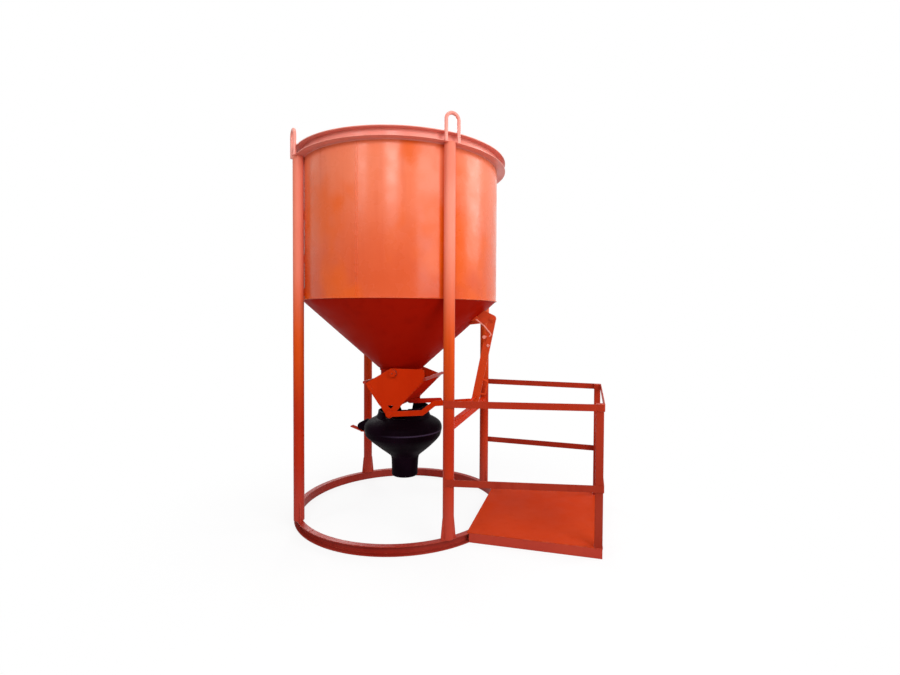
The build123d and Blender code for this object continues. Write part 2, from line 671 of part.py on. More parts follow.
def post_tube(reach):
    """Corner post: the square bar with its inside taken out."""
    inside = block(
        post_x + POST_WALL,
        PLATFORM_END - POST_WALL,
        reach - POST + POST_WALL,
        reach - POST_WALL,
        RING_HEIGHT,
        post_top,
    )
    return post_bar(reach, RING_HEIGHT, post_top) - inside


cap_back = post_bar(BACK_REACH, post_top, TOP_RAIL_Z)
cap_front = mirror(post_bar(FRONT_REACH, post_top, TOP_RAIL_Z), Plane.XZ)
nodes["post_back"] = post_tube(BACK_REACH)
nodes["post_front"] = mirror(post_tube(FRONT_REACH), Plane.XZ)
nodes["post_caps"] = Part() + [cap_back, cap_front]


# Guard rails: flat bars from leg to leg, bent round the two posts
def rail_half(reach):
    """Line of the front half of a rail, from its lap on the leg to the corner of the post."""
    knee = (post_x, -reach)
    start = touch(knee, (leg_xy, -leg_xy), leg_r, -1)
    run = hypot(knee[0] - start[0], knee[1] - start[1])
    lap_x = (knee[0] - start[0]) / run * RAIL_LAP
    lap_y = (knee[1] - start[1]) / run * RAIL_LAP
    return [(start[0] - lap_x, start[1] - lap_y), knee, (PLATFORM_END, -reach)]


rail_line = rail_half(FRONT_REACH) + [(x, -y) for x, y in reversed(rail_half(BACK_REACH))]
rail_face = band(rail_line, -RAIL_THICK)
for name, upper_edge in (("top_rail", TOP_RAIL_Z), ("knee_rail", KNEE_RAIL_Z)):
    rail = extrude(Pos(0, 0, upper_edge - RAIL_HEIGHT) * rail_face, RAIL_HEIGHT, dir=(0, 0, 1))
    bends = rail.edges().filter_by(Axis.Z).sort_by(Axis.X)[-4:]
    rail = fillet(bends[:2], POST_ROUND)
    bends = rail.edges().filter_by(Axis.Z)
    outer = [edge for edge in bends if edge.center().X > PLATFORM_END + RAIL_THICK / 2]
    nodes[name] = fillet(outer, POST_ROUND + RAIL_THICK)

# Rubber funnel: its bowl, set off the drum axis, and, below the seat, its spout, set off further
shoulder_z = FUNNEL_TOP - SHOULDER_DROP
seat_z = shoulder_z - SEAT_DROP
seat_r = SHOULDER_DIA / 2 - SEAT_INSET
spout_z = seat_z - CONE_DROP
funnel_at = Pos(FUNNEL_SHIFT, 0, 0)


def funnel_bowl(wall, over):
    """Upper part of the funnel set in by a wall, run past its mouth by a given length."""
    shoulder_r = SHOULDER_DIA / 2 - wall
    mouth_r = MOUTH_DIA / 2 - wall
    profile = Polygon(
        (0, seat_z),
        (seat_r - wall, seat_z),
        (shoulder_r, shoulder_z - SHOULDER_ROUND),
        (shoulder_r, shoulder_z + SHOULDER_ROUND),
        (mouth_r, FUNNEL_TOP),
        (mouth_r, FUNNEL_TOP + over),
        (0, FUNNEL_TOP + over),
    )
    widest = profile.vertices().sort_by(Axis.X)[-2:]
    return funnel_at * revolve(Plane.XZ * fillet(widest, SHOULDER_ROUND), Axis.Z)


def funnel_spout(wall, over):
    """Lower part of the funnel set in by a wall, run past its end by a given length."""
    spout_r = SPOUT_DIA / 2 - wall
    ends = [Pos(0, 0, seat_z) * Circle(seat_r - wall), Pos(SPOUT_SHIFT, 0, spout_z) * Circle(spout_r)]
    tube = upright(SPOUT_SHIFT, 0, spout_r, spout_z - SPOUT_LENGTH - over, spout_z)
    return funnel_at * (loft(ends) + tube)


def mouth_wall(rise):
    """Ring that carries on the wall of the mouth upward."""
    mouth_r = MOUTH_DIA / 2
    wall = upright(0, 0, mouth_r, FUNNEL_TOP, FUNNEL_TOP + rise)
    return wall - upright(0, 0, mouth_r - FUNNEL_WALL, FUNNEL_TOP, FUNNEL_TOP + rise)


# Flaps that stand up over the mouth on both sides, the right one further round at the back
far = MOUTH_DIA / 2
right_top = FUNNEL_TOP + FLAP_RIGHT
left_top = FUNNEL_TOP + FLAP_LEFT
right_space = block(FLAP_START, far, -far, 0, FUNNEL_TOP, right_top)
right_space += block(FLAP_BACK, far, 0, far, FUNNEL_TOP, right_top)
left_space = block(-far, -FLAP_START, -far, far, FUNNEL_TOP, left_top)
flaps = funnel_at * (mouth_wall(FLAP_RIGHT) & right_space)
flaps += funnel_at * (mouth_wall(FLAP_LEFT) & left_space)

# Tongue drawn out of the shoulder on the left, which lies on the tip of the fork
fork_out = seat_r + FORK_WIDTH
tip_start = fork_out - FORK_WIDTH / 4
tip_end = fork_out + FORK_TIP
tongue_root = SHOULDER_DIA / 2 - FUNNEL_WALL / 2
tongue_end = SHOULDER_DIA / 2 + TONGUE_REACH
tongue_low = seat_z + (tongue_end - tip_start) / (tip_end - tip_start) * FORK_TIP_RISE
tongue_face = Polygon(
    (tongue_root, seat_z),
    (tip_start, seat_z),
    (tongue_end, tongue_low),
    (tongue_end, tongue_low + TONGUE_TIP),
    (tongue_root, shoulder_z + TONGUE_RISE),
)
tongue = plate(tongue_face, -TONGUE_WIDTH / 2, TONGUE_WIDTH / 2)
bowl_solid = funnel_bowl(0, 0) + funnel_at * mirror(tongue, Plane.YZ)
spout_solid = funnel_spout(0, 0)
nodes["rubber_bowl"] = bowl_solid - funnel_bowl(FUNNEL_WALL, 1) + flaps
nodes["rubber_spout"] = spout_solid - funnel_spout(FUNNEL_WALL, 1)

# Fork: part of a ring under the shoulder of the funnel, with a turned-up tip on the left
fork_low = seat_z - FORK_THICK
fork = upright(0, 0, fork_out, fork_low, seat_z)
fork -= upright(0, 0, seat_r - FORK_WIDTH / 2, fork_low, seat_z)
fork &= block(-fork_out, FORK_END, -FORK_TIP_WIDTH / 2, fork_out, fork_low, seat_z)
tip_line = [(fork_out - FORK_WIDTH / 2, seat_z), (tip_start, seat_z), (tip_end, seat_z + FORK_TIP_RISE)]
tip = plate(band(tip_line, -FORK_THICK), -FORK_TIP_WIDTH / 2, FORK_TIP_WIDTH / 2)
fork = funnel_at * (fork + mirror(tip, Plane.YZ))
nodes["funnel_fork"] = fork - bowl_solid - spout_solid

# Straps that hang the fork from the back of the cone
strap_in = SHOULDER_DIA / 2 + FUNNEL_SHIFT + STRAP_GAP
strap = block(strap_in, strap_in + STRAP_THICK, -STRAP_WIDTH / 2, STRAP_WIDTH / 2, seat_z, drum_z)
strap = (strap - cone_solid).solids()
hanger = strap.sort_by(Axis.Z)[0]
nodes["funnel_straps"] = Part() + [Rot(0, 0, angle) * hanger for angle in STRAP_ANGLES]

# Write each piece about the middle of the footprint
x_middle = (PLATFORM_END + RAIL_THICK - max(ring_out, rim_out)) / 2
os.makedirs("parts", exist_ok=True)
for name, shape in nodes.items():
    export_step(Pos(-x_middle, 0, 0) * shape, "parts/" + name + ".step")
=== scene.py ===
from math import cos, hypot, pi, radians, sin, sqrt

import bmesh
import bpy
import numpy as np
from mathutils import Matrix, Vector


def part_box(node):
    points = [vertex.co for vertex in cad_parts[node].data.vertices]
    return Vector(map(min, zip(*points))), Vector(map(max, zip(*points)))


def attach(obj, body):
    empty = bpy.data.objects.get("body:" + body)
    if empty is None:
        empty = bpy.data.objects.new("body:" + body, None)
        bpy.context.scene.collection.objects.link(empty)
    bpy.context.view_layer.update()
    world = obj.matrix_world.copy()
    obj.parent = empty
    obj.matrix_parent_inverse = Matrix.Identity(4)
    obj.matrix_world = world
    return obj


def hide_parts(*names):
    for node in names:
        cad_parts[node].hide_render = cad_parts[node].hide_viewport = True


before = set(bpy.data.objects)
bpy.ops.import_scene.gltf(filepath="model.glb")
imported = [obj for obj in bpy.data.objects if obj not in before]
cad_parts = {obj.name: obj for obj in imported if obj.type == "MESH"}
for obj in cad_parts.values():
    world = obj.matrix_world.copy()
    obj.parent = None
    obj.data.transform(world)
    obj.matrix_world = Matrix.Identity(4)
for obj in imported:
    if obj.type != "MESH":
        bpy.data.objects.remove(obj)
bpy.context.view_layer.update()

# Base ring
# A ring of rolled steel channel that the whole bucket stands on, open side out.
# It is closed with one butt weld and brushed with a darker, redder paint than the legs.
drum_low, drum_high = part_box("drum_shell")
axis_x = (drum_low.x + drum_high.x) / 2


def tone(red, green, blue):
    """Colour as a screen shows it, 0 to 255 a channel, turned into the linear colour of a shader."""
    share = np.array([red, green, blue]) / 255.0
    linear = np.where(share <= 0.04045, share / 12.92, ((share + 0.055) / 1.055) ** 2.4)
    return (*linear.tolist(), 1.0)


class Recipe:
    """Short way to lay out the nodes of one material and wire them together."""

    def __init__(self, name):
        """Starts from the plain shader, with every pattern placed in metres from the origin."""
        self.material = bpy.data.materials.new(name)
        self.material.use_nodes = True
        self.tree = self.material.node_tree
        self.shader = self.tree.nodes["Principled BSDF"]
        self.place = self.add("ShaderNodeTexCoord").outputs["Object"]

    def add(self, kind, links=None, **settings):
        """New node of a kind: each named input gets a wire from another node or a fixed value."""
        node = self.tree.nodes.new(kind)
        for key, value in settings.items():
            setattr(node, key, value)
        for key, value in (links or {}).items():
            if isinstance(value, bpy.types.NodeSocket):
                self.tree.links.new(value, node.inputs[key])
            else:
                node.inputs[key].default_value = value
        return node

    def noise(self, scale, detail=3.0, stretch=(1, 1, 1)):
        """Cloudy pattern, so many lumps to the metre, drawn out along an axis by a small stretch number."""
        place = self.place
        if stretch != (1, 1, 1):
            place = self.add("ShaderNodeMapping", {"Vector": place, "Scale": stretch}).outputs[0]
        links = {"Vector": place, "Scale": scale, "Detail": detail}
        return self.add("ShaderNodeTexNoise", links).outputs[0]

    def between(self, value, low, high, to_low=0.0, to_high=1.0):
        """Carries a value from one span to another and holds it at the ends."""
        links = {"Value": value, "From Min": low, "From Max": high, "To Min": to_low, "To Max": to_high}
        return self.add("ShaderNodeMapRange", links, interpolation_type="SMOOTHSTEP").outputs[0]

    def patches(self, scale, start, full, most=1.0, detail=3.0, stretch=(1, 1, 1)):
        """Share of a layer: grows from zero to most as a cloudy pattern goes from start to full."""
        return self.between(self.noise(scale, detail, stretch), start, full, 0.0, most)

    def times(self, one, two):
        """One value times another."""
        return self.add("ShaderNodeMath", {0: one, 1: two}, operation="MULTIPLY").outputs[0]

    def mix(self, share, one, two):
        """First colour where the share is zero, second where it is one, and a blend in between."""
        node = self.add("ShaderNodeMix", data_type="RGBA")
        for socket, value in ((node.inputs[0], share), (node.inputs[6], one), (node.inputs[7], two)):
            if isinstance(value, bpy.types.NodeSocket):
                self.tree.links.new(value, socket)
            else:
                socket.default_value = value
        return node.outputs[2]

    def height(self):
        """Level above the ground in metres."""
        return self.add("ShaderNodeSeparateXYZ", {"Vector": self.place}).outputs["Z"]

    def facing_down(self):
        """One on undersides, zero on walls and tops."""
        normal = self.add("ShaderNodeNewGeometry").outputs["Normal"]
        up = self.add("ShaderNodeSeparateXYZ", {"Vector": normal}).outputs["Z"]
        return self.between(up, -0.3, -0.8)

    def edges(self, radius):
        """One where the surface turns within this radius, as on a corner, and zero on flat ground."""
        soft = self.add("ShaderNodeBevel", {"Radius": radius}, samples=4).outputs[0]
        hard = self.add("ShaderNodeNewGeometry").outputs["Normal"]
        turn = self.add("ShaderNodeVectorMath", {0: soft, 1: hard}, operation="DOT_PRODUCT")
        return self.between(turn.outputs["Value"], 0.995, 0.86)

    def bumps(self, *layers):
        """Relief made of layers, each a pattern and its depth in metres, over corners eased by 2 mm."""
        normal = self.add("ShaderNodeBevel", {"Radius": 0.002}, samples=4).outputs[0]
        for pattern, depth in layers:
            links = {"Height": pattern, "Distance": depth, "Strength": 1.0, "Normal": normal}
            normal = self.add("ShaderNodeBump", links).outputs[0]
        self.tree.links.new(normal, self.shader.inputs["Normal"])

    def colour(self, value):
        """Wires a colour to the shader."""
        self.tree.links.new(value, self.shader.inputs["Base Color"])

    def rough(self, value):
        """Wires a roughness to the shader."""
        self.tree.links.new(value, self.shader.inputs["Roughness"])


def enamel(
    name, low, high, levels, faded, runs, gloss, shine, wave, dabs=0.0, underside_shade_share=0.0, splash=0.0, top_highlight=None
):
    """Brushed or sprayed orange enamel on steel. The tone goes from low to high between two levels,
    which is painted light where the two differ, and a painted highlight lightens it to a third tone
    between two more. It chalks to the faded tone in clouds, has upright runs and touched-up dabs,
    shows painted shade on undersides and cement dust near the ground, and is rubbed along corners."""
    touch_up = tone(228, 90, 4)
    underside_shade_tone = tone(132, 34, 36)
    cement = tone(184, 92, 86)
    rubbed_corner = tone(228, 132, 92)
    rusty_chip = tone(92, 56, 46)
    paint = Recipe(name)
    # Painted light: the tone lightens from low to high as the level rises.
    tone_here = paint.mix(paint.between(paint.height(), *levels), low, high)
    # Painted highlight: a paler tone towards the tops.
    if top_highlight:
        highlight_tone, start, end = top_highlight
        tone_here = paint.mix(paint.between(paint.height(), start, end), tone_here, highlight_tone)
    clouds = paint.patches(1.3, 0.35, 0.8, most=0.45, detail=2.0)
    tone_here = paint.mix(clouds, tone_here, faded)
    streaks = paint.patches(16.0, 0.5, 0.8, most=0.4, stretch=(1, 1, 0.06))
    tone_here = paint.mix(streaks, tone_here, runs)
    touched = paint.patches(2.3, 0.47, 0.6, most=dabs, stretch=(1, 1, 0.7))
    tone_here = paint.mix(touched, tone_here, touch_up)
    # Painted shade: undersides turn dark red.
    tone_here = paint.mix(paint.times(paint.facing_down(), underside_shade_share), tone_here, underside_shade_tone)
    splashed = paint.between(paint.height(), 0.6, 0.1, to_high=splash)
    tone_here = paint.mix(splashed, tone_here, cement)
    dust = paint.patches(160.0, 0.45, 0.8, most=0.08, detail=2.0)
    tone_here = paint.mix(dust, tone_here, faded)
    rubbed = paint.times(paint.edges(0.004), paint.patches(38.0, 0.45, 0.65, most=0.4, detail=4.0))
    tone_here = paint.mix(rubbed, tone_here, rubbed_corner)
    chips = paint.times(paint.edges(0.0025), paint.patches(75.0, 0.63, 0.68))
    paint.colour(paint.mix(chips, tone_here, rusty_chip))
    paint.rough(paint.between(paint.noise(9.0, 4.0), 0.3, 0.75, gloss - 0.05, gloss + 0.12))
    paint.shader.inputs["Coat Weight"].default_value = 0.5 * shine
    paint.shader.inputs["Coat Roughness"].default_value = 0.14
    paint.shader.inputs["Specular IOR Level"].default_value = shine
    paint.bumps(
        (paint.noise(3.0, 1.0, (1, 1, 0.5)), wave),
        (paint.noise(260.0, 2.0), 0.00016),
        (paint.noise(55.0, 3.0, (1, 1, 0.25)), 0.00022),
    )
    return paint.material


def finish_node(material, *names):
    """Gives CAD pieces their material."""
    for name in names:
        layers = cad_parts[name].data.materials
        layers.clear()
        layers.append(material)


def around_axis(turn, out, side, z):
    """Points given by a turn about the drum axis: the distance out along that radius, the distance
    sideways from it, and the level."""
    out, side, z = np.broadcast_arrays(*(np.asarray(value, float) for value in (out, side, z)))
    x = axis_x + out * cos(turn) - side * sin(turn)
    y = out * sin(turn) + side * cos(turn)
    return np.stack([x, y, z], -1)


def ring_path(radius, z, count):
    """Level circle about the drum axis: the radius times the cosine and the sine of the turn."""
    turn = np.radians(np.linspace(0.0, 360.0, count))
    return np.stack([axis_x + radius * np.cos(turn), radius * np.sin(turn), np.full(count, z)], 1)


def spaced(path, step):
    """The same line with points at one even spacing, by length along it."""
    run = np.concatenate([[0.0], np.cumsum(np.linalg.norm(np.diff(path, axis=0), axis=1))])
    even = np.linspace(0.0, run[-1], max(4, int(run[-1] / step) + 1))
    return np.stack([np.interp(even, run, path[:, i]) for i in range(3)], 1), even


def grid_faces(rows, columns, round_rows, round_columns):
    """Quads of a grid of points, joined end to end in either direction."""
    index = np.arange(rows * columns).reshape(rows, columns)
    if round_rows:
        index = np.concatenate([index, index[:1]], 0)
    if round_columns:
        index = np.concatenate([index, index[:, :1]], 1)
    quads = np.stack([index[:-1, :-1], index[1:, :-1], index[1:, 1:], index[:-1, 1:]], 2)
    return quads.reshape(-1, 4).tolist()


def bar_along(path, radius, closed, sides=8):
    """Round section carried along a path: each point plus radius times the cosine of the turn across
    and the sine of it along the path's other normal. The radius may change from point to point.
    The guide that gives the two normals is upright for a level path and level for an upright one."""
    ahead = np.roll(path, -1, 0) - np.roll(path, 1, 0) if closed else np.gradient(path, axis=0)
    ahead /= np.linalg.norm(ahead, axis=1, keepdims=True)
    level = np.abs(ahead[:, 2]).mean() < 0.7
    guide = np.array([0.0, 0.0, 1.0]) if level else np.array([0.31, 0.95, 0.0])
    across = np.cross(ahead, guide)
    across /= np.linalg.norm(across, axis=1, keepdims=True)
    other = np.cross(across, ahead)
    turn = np.linspace(0, 2 * pi, sides, endpoint=False)[None, :, None]
    size = np.broadcast_to(np.asarray(radius, float), len(path))[:, None, None]
    points = path[:, None] + size * (np.cos(turn) * across[:, None] + np.sin(turn) * other[:, None])
    faces = grid_faces(len(path), sides, closed, True)
    points = points.reshape(-1, 3)
    if not closed:
        last = len(points) - sides
        faces += [list(range(sides)), list(range(last + sides - 1, last - 1, -1))]
    return points, faces


def bead(path, size, closed=False, pitch=0.007):
    """Weld bead along a joint: a round section that swells and shrinks with each ripple of the pool,
    and at an open end tapers to a third over the last centimetre."""
    line, run = spaced(np.asarray(path, float), pitch / 3)
    if closed:
        line, run = line[:-1], run[:-1]
    ripple = 0.13 * np.sin(2 * pi * run / pitch)
    drift = 0.07 * np.sin(2 * pi * run / (9.3 * pitch))
    radius = size * (1 + ripple + drift)
    if not closed:
        end_share, taper = 0.35, 0.01
        radius *= np.clip(end_share + np.minimum(run, run[-1] - run) / taper, end_share, 1.0)
    return bar_along(line, radius, closed)


def piece(name, shapes, material, body, smooth=True):
    """Joins shapes, each points and faces, into one mesh object that rides on a body."""
    shift, points, faces = 0, [], []
    for some_points, some_faces in shapes:
        points.append(np.asarray(some_points))
        faces += [[corner + shift for corner in face] for face in some_faces]
        shift += len(some_points)
    mesh = bpy.data.meshes.new(name)
    mesh.from_pydata(np.concatenate(points).tolist(), [], faces)
    tidy = bmesh.new()
    tidy.from_mesh(mesh)
    bmesh.ops.recalc_face_normals(tidy, faces=tidy.faces)
    tidy.to_mesh(mesh)
    tidy.free()
    mesh.polygons.foreach_set("use_smooth", np.full(len(mesh.polygons), smooth))
    mesh.materials.append(material)
    thing = bpy.data.objects.new(name, mesh)
    bpy.context.scene.collection.objects.link(thing)
    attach(thing, body)
    return thing


ring_paint = enamel(
    "orange_ring_paint",
    low=tone(158, 40, 28),
    high=tone(158, 40, 28),
    levels=(0.0, 0.1),
    faded=tone(182, 80, 68),
    runs=tone(134, 26, 20),
    gloss=0.38,
    shine=0.08,
    wave=0.0006,
)
finish_node(ring_paint, "base_ring")
ring_low, ring_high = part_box("base_ring")
ring_out = (ring_high.x - ring_low.x) / 2
ring_top = ring_high.z
flange_width, splice_drop = 0.042, 0.005
ring_in = ring_out - flange_width
splice_out = [ring_in, ring_out, ring_out]
splice_z = [ring_top, ring_top, ring_top - splice_drop]
splice_line = around_axis(radians(-118), splice_out, 0.0, splice_z)
piece("ring_splice_weld", [bead(splice_line, 0.0025)], ring_paint, "frame")

# Legs
# Four round tubes stand on the ring and carry the drum. Each foot is welded to the
# ring's upper flange and stayed by two small triangular gussets.
leg_radius = 0.03805
leg_at = 0.80005
gusset_half, gusset_foot, gusset_high = 0.004, 0.056, 0.140
corner_names = ("front_left", "front_right", "back_right", "back_left")
leg_turns = [radians(angle) for angle in (-135, -45, 45, 135)]
# The frame's enamel lightens with height to a pale pink near the tops: painted light.
frame_paint = enamel(
    "orange_frame_paint",
    low=tone(174, 34, 4),
    high=tone(216, 78, 12),
    levels=(0.7, 1.5),
    top_highlight=(tone(242, 142, 118), 1.3, 2.2),
    faded=tone(206, 70, 28),
    runs=tone(168, 36, 10),
    gloss=0.38,
    shine=0.08,
    wave=0.0006,
    splash=0.25,
)
finish_node(frame_paint, *(f"leg_{corner}" for corner in corner_names), "leg_caps", "leg_gussets")
leg_welds = []
foot_bead, gusset_bead, bead_off = 0.0032, 0.0028, 0.001
touch_side = sqrt(leg_radius**2 - gusset_half**2)
foot = leg_radius + bead_off
foot_z = ring_top + bead_off
up = np.linspace(ring_top, ring_top + gusset_high, 12)
for turn in leg_turns:
    for hand in (-1, 1):
        arc = np.radians(np.linspace(72, 132, 24)) * hand
        path = around_axis(turn, leg_at + foot * np.cos(arc), foot * np.sin(arc), foot_z)
        leg_welds.append(bead(path, foot_bead))
        for face in (-1, 1):
            stand = leg_at + face * (gusset_half + bead_off)
            upright = around_axis(turn, stand, hand * (touch_side + bead_off / 2), up)
            level = around_axis(turn, stand, np.linspace(touch_side, gusset_foot, 6) * hand, foot_z)
            leg_welds += [bead(upright, gusset_bead), bead(level, gusset_bead)]
piece("leg_welds", leg_welds, frame_paint, "frame")

# Drum
# Rolled from two sheets of 5 mm plate with upright butt welds, two beads side by side in
# front, and sprayed with gloss orange enamel. The sheet is a little wavy, as rolled plate is.
drum_radius = (drum_high.x - drum_low.x) / 2
drum_foot, drum_top = drum_low.z, drum_high.z
# The enamel turns paler and pinker up the drum: a painted highlight.
drum_enamel = enamel(
    "orange_drum_enamel",
    low=tone(212, 74, 12),
    high=tone(238, 122, 82),
    levels=(1.7, 2.7),
    faded=tone(236, 118, 80),
    runs=tone(204, 68, 12),
    gloss=0.25,
    shine=0.24,
    wave=0.0010,
    dabs=0.85,
)
finish_node(drum_enamel, "drum_shell")
seam_bead, foot_seam_bead, wide_pitch = 0.0022, 0.0042, 0.009
rim_drop = 0.068
drum_welds = []
for angle in (-90.2, -91.25, 88.5):
    levels = np.linspace(drum_foot + 0.004, drum_top - rim_drop, 40)
    drum_welds.append(bead(around_axis(radians(angle), drum_radius + 0.0002, 0.0, levels), seam_bead))
foot_line = ring_path(drum_radius, drum_foot, 720)
drum_welds.append(bead(foot_line, foot_seam_bead, closed=True, pitch=wide_pitch))
piece("drum_welds", drum_welds, drum_enamel, "frame")

# Hopper cone
# Cone of the same plate welded under the drum, given a deeper red as painted shade.
# One butt weld runs down its back and one down its left side.
cone_low, cone_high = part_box("hopper_cone")
outlet_radius = 0.1635
cone_painted_shade_enamel = enamel(
    "orange_cone_painted_shade",
    low=tone(166, 18, 3),
    high=tone(170, 20, 4),
    levels=(1.1, 1.7),
    faded=tone(180, 34, 10),
    runs=tone(146, 14, 3),
    gloss=0.46,
    shine=0.01,
    wave=0.0010,
)
finish_node(cone_painted_shade_enamel, "hopper_cone")


def cone_radius(z):
    """Outside radius of the cone: grows in a straight line from the outlet to the drum."""
    return outlet_radius + (drum_radius - outlet_radius) * (z - cone_low.z) / (cone_high.z - cone_low.z)


cone_welds = []
for angle in (62.0, -150.0):
    levels = np.linspace(cone_low.z + 0.01, cone_high.z - 0.006, 40)
    cone_welds.append(bead(around_axis(radians(angle), cone_radius(levels), 0.0, levels), seam_bead))
outlet_line = ring_path(outlet_radius + 0.0005, cone_low.z + 0.0015, 300)
cone_welds.append(bead(outlet_line, 0.003, closed=True))
piece("cone_welds", cone_welds, cone_painted_shade_enamel, "frame")

# Rim
# Two flat rings and a band welded to a channel round the mouth of the drum, which keeps it
# round and carries the eyes. Sprayed like the drum, with a paler pink as painted light and
# darker undersides as painted shade.
rim_painted_light_and_shade = enamel(
    "orange_rim_painted_light_and_shade",
    low=tone(236, 142, 124),
    high=tone(236, 142, 124),
    levels=(1.3, 2.7),
    faded=tone(244, 164, 150),
    runs=tone(218, 108, 86),
    gloss=0.34,
    shine=0.22,
    wave=0.0006,
    underside_shade_share=0.15,
)
finish_node(rim_painted_light_and_shade, "rim_band", "rim_flange_low", "rim_flange_top")
rim_low, rim_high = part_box("rim_flange_low")
band_low, band_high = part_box("rim_band")
band_radius = (band_high.x - band_low.x) / 2
rim_welds = []
for radius, z, size in (
    (drum_radius + 0.0015, rim_low.z - 0.001, 0.0036),
    (band_radius + 0.0005, rim_high.z + 0.0005, 0.0026),
    (drum_radius, drum_top - 0.001, 0.0026),
):
    rim_welds.append(bead(ring_path(radius, z, 720), size, closed=True, pitch=wide_pitch))
piece("rim_welds", rim_welds, rim_painted_light_and_shade, "frame")

# Tabs
# Short blocks cut from bar that tie each leg to the drum skin at three levels. They are
# welded on both sides and sprayed with the drum.
finish_node(drum_enamel, "drum_tabs")
tab_half, tab_high, tab_off = 0.006, 0.060, 0.0008
tab_levels = (0.048, 0.290, 0.602)
tab_welds = []
for level in tab_levels:
    up = np.linspace(-tab_high / 2, tab_high / 2, 8) + drum_foot + level
    for turn in leg_turns:
        for hand in (-1, 1):
            side = hand * (tab_half + tab_off)
            tab_welds.append(bead(around_axis(turn, drum_radius + tab_off, side, up), 0.0024))
piece("tab_welds", tab_welds, drum_enamel, "frame")

# Lifting eyes
# Round bar bent to a U over the top of each leg and welded to the rim's two rings.
# The crane's sling hooks in here, so the bend is rubbed.
# The eyes take the rim's pale pink: painted light near the top.
eye_painted_light_enamel = enamel(
    "orange_eye_painted_light",
    low=tone(234, 140, 124),
    high=tone(234, 140, 124),
    levels=(2.6, 2.9),
    faded=tone(242, 164, 150),
    runs=tone(206, 100, 84),
    gloss=0.30,
    shine=0.3,
    wave=0.0002,
)
finish_node(eye_painted_light_enamel, *(f"lifting_eye_{corner}" for corner in corner_names))
eye_at, eye_half, eye_radius, eye_off = 0.834, 0.047, 0.012, 0.0006
eye_welds = []
arc = np.radians(np.linspace(112, 248, 24))
for turn in leg_turns:
    for hand in (-1, 1):
        out = eye_at + (eye_radius + eye_off) * np.cos(arc)
        side = hand * eye_half + (eye_radius + eye_off) * np.sin(arc)
        for level in (rim_high.z + 0.0008, drum_top + eye_off):
            eye_welds.append(bead(around_axis(turn, out, side, level), 0.003))
piece("eye_welds", eye_welds, eye_painted_light_enamel, "frame")

# Outlet
# Collar ring and a round neck of plate under the cone; the gate closes against it.
# Turned pivots with hexagon nuts stand out on both sides, greased through nipples.
# Collar and neck take the cone's painted shade.
finish_node(cone_painted_shade_enamel, "outlet_collar", "outlet_neck")
steel = Recipe("greased_steel")
bright_steel = tone(118, 96, 86)
dull_steel = tone(92, 70, 62)
brown_grease = tone(70, 46, 36)
steel_tone = steel.mix(steel.patches(30.0, 0.35, 0.7), bright_steel, dull_steel)
steel.colour(steel.mix(steel.patches(12.0, 0.5, 0.75, most=0.8, detail=4.0), steel_tone, brown_grease))
steel.shader.inputs["Metallic"].default_value = 0.6
steel.rough(steel.between(steel.noise(60.0), 0.3, 0.7, 0.28, 0.5))
steel.bumps((steel.noise(300.0, 2.0), 0.0002))
greased_steel = steel.material
neck_low, neck_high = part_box("outlet_neck")
neck_radius = (neck_high.y - neck_low.y) / 2
neck_line = ring_path(neck_radius + 0.0008, neck_high.z - 0.0008, 300)
piece("neck_weld", [bead(neck_line, 0.0026, closed=True)], cone_painted_shade_enamel, "frame")


def turned(profile, middle, forward, sides=24):
    """Surface of revolution: rows of distance along an axis and radius, swept round it. The
    axis starts at a middle point and runs along a unit direction."""
    forward = np.asarray(forward, float)
    guide = np.array([0.0, 0.0, 1.0]) if abs(forward[2]) < 0.9 else np.array([1.0, 0.0, 0.0])
    across = np.cross(forward, guide)
    across /= np.linalg.norm(across)
    other = np.cross(forward, across)
    turn = np.linspace(0, 2 * pi, sides, endpoint=False)[None, :, None]
    profile = np.asarray(profile, float)
    along = np.asarray(middle) + profile[:, 0].reshape(-1, 1, 1) * forward
    points = along + profile[:, 1].reshape(-1, 1, 1) * (np.cos(turn) * across + np.sin(turn) * other)
    faces = grid_faces(len(profile), sides, False, True)
    last = (len(profile) - 1) * sides
    faces += [list(range(sides)), list(range(last + sides - 1, last - 1, -1))]
    return points.reshape(-1, 3), faces


gate_x = axis_x + 0.024
gate_z = 1.114
pin_low, pin_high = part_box("pivot_pins")
nipple = [
    (0.0, 0.0045), (0.003, 0.0045), (0.0035, 0.003), (0.006, 0.0024),
    (0.0075, 0.0032), (0.009, 0.0022), (0.0095, 0.0004),
]
nipples = []
for hand, pin_end in ((1, pin_high.y), (-1, pin_low.y)):
    nipples.append(turned(nipple, (gate_x, pin_end, gate_z), (0, hand, 0)))
piece("grease_nipples", nipples, greased_steel, "frame")

# Gate
# A pan folded from one sheet, with a cheek plate welded to each end, hung on bushes. Bars stiffen
# the lips and the sloping edges of the cheeks, and a flat arm stands out under the right fold.
gate_enamel = enamel(
    "orange_gate_enamel",
    low=tone(202, 46, 8),
    high=tone(202, 46, 8),
    levels=(0.8, 1.2),
    faded=tone(208, 62, 20),
    runs=tone(182, 34, 6),
    gloss=0.42,
    shine=0.01,
    wave=0.0006,
)
finish_node(
    gate_enamel,
    "pivot_pins",
    "pivot_nuts",
    "link_pin",
    "gate_cheek_front",
    "gate_cheek_rear",
    "gate_edge_bars",
)
